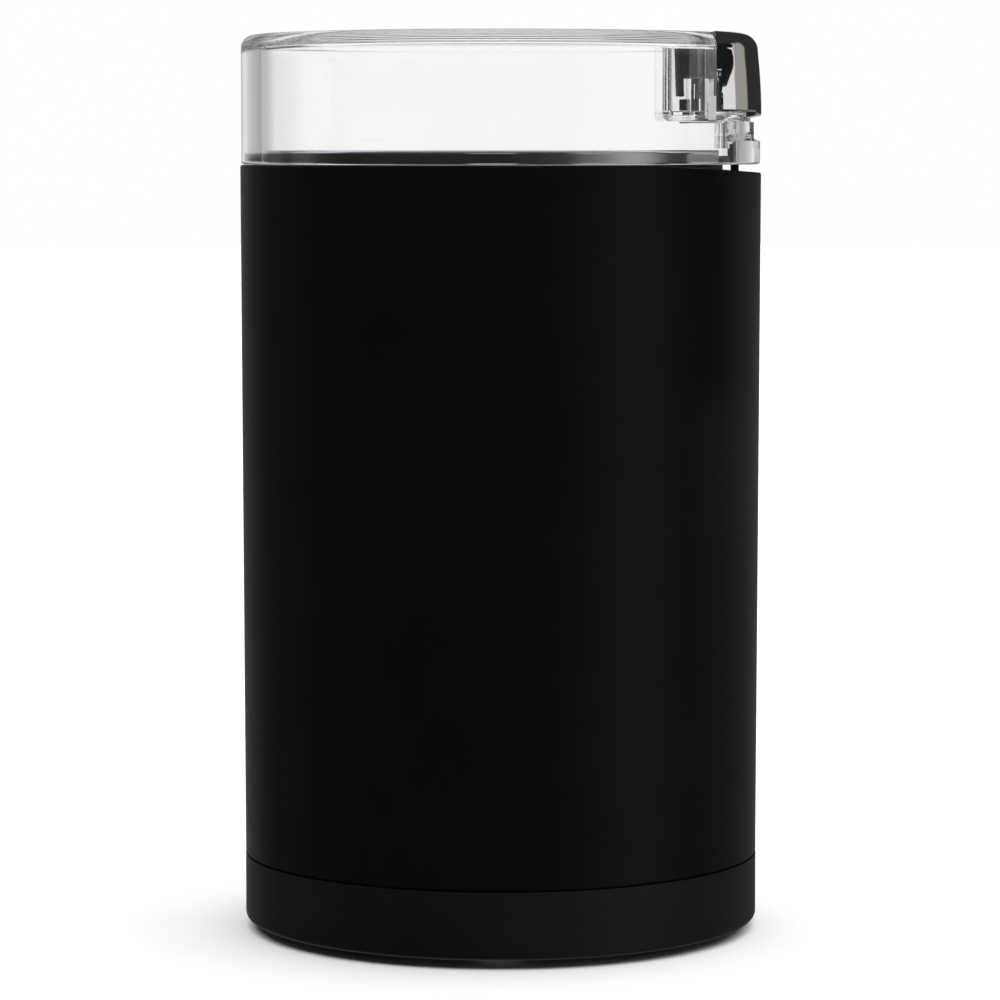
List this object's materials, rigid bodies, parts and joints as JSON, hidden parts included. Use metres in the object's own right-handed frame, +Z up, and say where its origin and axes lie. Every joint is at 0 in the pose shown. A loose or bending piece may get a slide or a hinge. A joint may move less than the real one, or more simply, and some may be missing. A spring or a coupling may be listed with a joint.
{
  "type": "electric spice grinder",
  "caption": "Cylindrical blade grinder with a matte black body, steel grinding bowl, clear lift-off lid and a chrome press button that works the switch through a push rod.",
  "frame": {"origin": "on the worktop under the middle of the body", "axes": "+Z up, -Y to the front, +X to the press button, +Y to the rear cord inlet"},
  "size_m": [0.094, 0.094, 0.162],
  "materials": {
    "sleeve_plastic": "black, fine matte texture",
    "base_plastic": "black, satin moulded",
    "collar_plastic": "black, satin moulded",
    "frame_plastic": "black moulded, glass filled",
    "bracket_plastic": "natural white moulded",
    "plunger_plastic": "black, self lubricating",
    "rod_plastic": "clear, polished",
    "clear_plastic": "clear, polished",
    "chrome": "bright chrome plate on plastic, mirror",
    "bowl_steel": "stainless, circular brushed inside, polished rim",
    "blade_steel": "stainless, ground edges",
    "shaft_steel": "ground steel",
    "zinc_steel": "zinc plated steel",
    "spring_steel": "drawn wire",
    "laminated_steel": "stacked laminations",
    "sintered_bronze": "sintered, oiled",
    "brass": "stamped",
    "copper_bar": "copper segments",
    "copper_wire": "enamelled wire",
    "carbon": "pressed carbon",
    "rubber": "matte",
    "capacitor_plastic": "moulded, off white",
    "lead_insulation": "soft insulation"
  },
  "bodies": {
    "housing": {"outer_sleeve": "sleeve_plastic", "base_ring": "base_plastic", "bottom_plate": "base_plastic", "rubber_feet": "rubber", "base_screws": "zinc_steel", "cord_grommet": "rubber", "top_collar": "collar_plastic", "inner_frame": "frame_plastic", "grinding_bowl": "bowl_steel", "bowl_gasket": "rubber", "bowl_nut": "frame_plastic", "shaft_seal": "rubber", "motor_upper_bracket": "bracket_plastic", "motor_lower_bracket": "bracket_plastic", "upper_bearing": "sintered_bronze", "lower_bearing": "sintered_bronze", "stator_core": "laminated_steel", "field_coils": "copper_wire", "brush_holders": "brass", "carbon_brushes": "carbon", "brush_springs": "spring_steel", "motor_bolts": "zinc_steel", "motor_dampers": "rubber", "damper_screws": "zinc_steel", "micro_switch": "frame_plastic", "switch_screws": "zinc_steel", "suppression_capacitor": "capacitor_plastic", "terminal_block": "capacitor_plastic", "internal_leads": "lead_insulation", "plunger_spring": "spring_steel"},
    "lid": {"lid_shell": "clear_plastic", "button_spring": "spring_steel"},
    "button": {"press_button": "chrome", "push_rod": "rod_plastic"},
    "plunger": {"switch_plunger": "plunger_plastic"},
    "switch_arm": {"switch_lever": "spring_steel"},
    "rotor": {"motor_shaft": "shaft_steel", "armature_core": "laminated_steel", "armature_windings": "copper_wire", "commutator": "copper_bar", "cooling_fan": "bracket_plastic", "blade_washer": "zinc_steel", "grinding_blade": "blade_steel", "blade_nut": "frame_plastic"}
  },
  "joints": [
    {"name": "lid_lift", "type": "slide", "parent": "housing", "child": "lid", "axis": [0, 0, 1], "range_m": [0, 0.045]},
    {"name": "button_press", "type": "slide", "parent": "lid", "child": "button", "axis": [0, 0, -1], "range_m": [0, 0.0017], "stiffness_N_per_m": 400, "springref_m": -0.004, "deforming": ["button_spring"]},
    {"name": "plunger_press", "type": "slide", "parent": "housing", "child": "plunger", "axis": [0, 0, -1], "range_m": [0, 0.00155], "stiffness_N_per_m": 0.5, "springref_m": -0.0044, "deforming": ["plunger_spring"]},
    {"name": "switch_lever_tilt", "type": "hinge", "parent": "housing", "child": "switch_arm", "pos_m": [0.03746, 0.01722, 0.099], "axis": [0.9724, 0.2334, 0], "range_deg": [0, 5.15], "stiffness_Nm_per_rad": 0.00002, "springref_deg": -48.7},
    {"name": "rotor_spin", "type": "hinge", "parent": "housing", "child": "rotor", "pos_m": [0, 0, 0.05], "axis": [0, 0, 1], "continuous": true}
  ],
  "couplings": [
    {"joint": "plunger_press", "follows": "button_press", "ratio": 0.9},
    {"joint": "switch_lever_tilt", "follows": "button_press", "rad_per_m": 52.36}
  ]
}
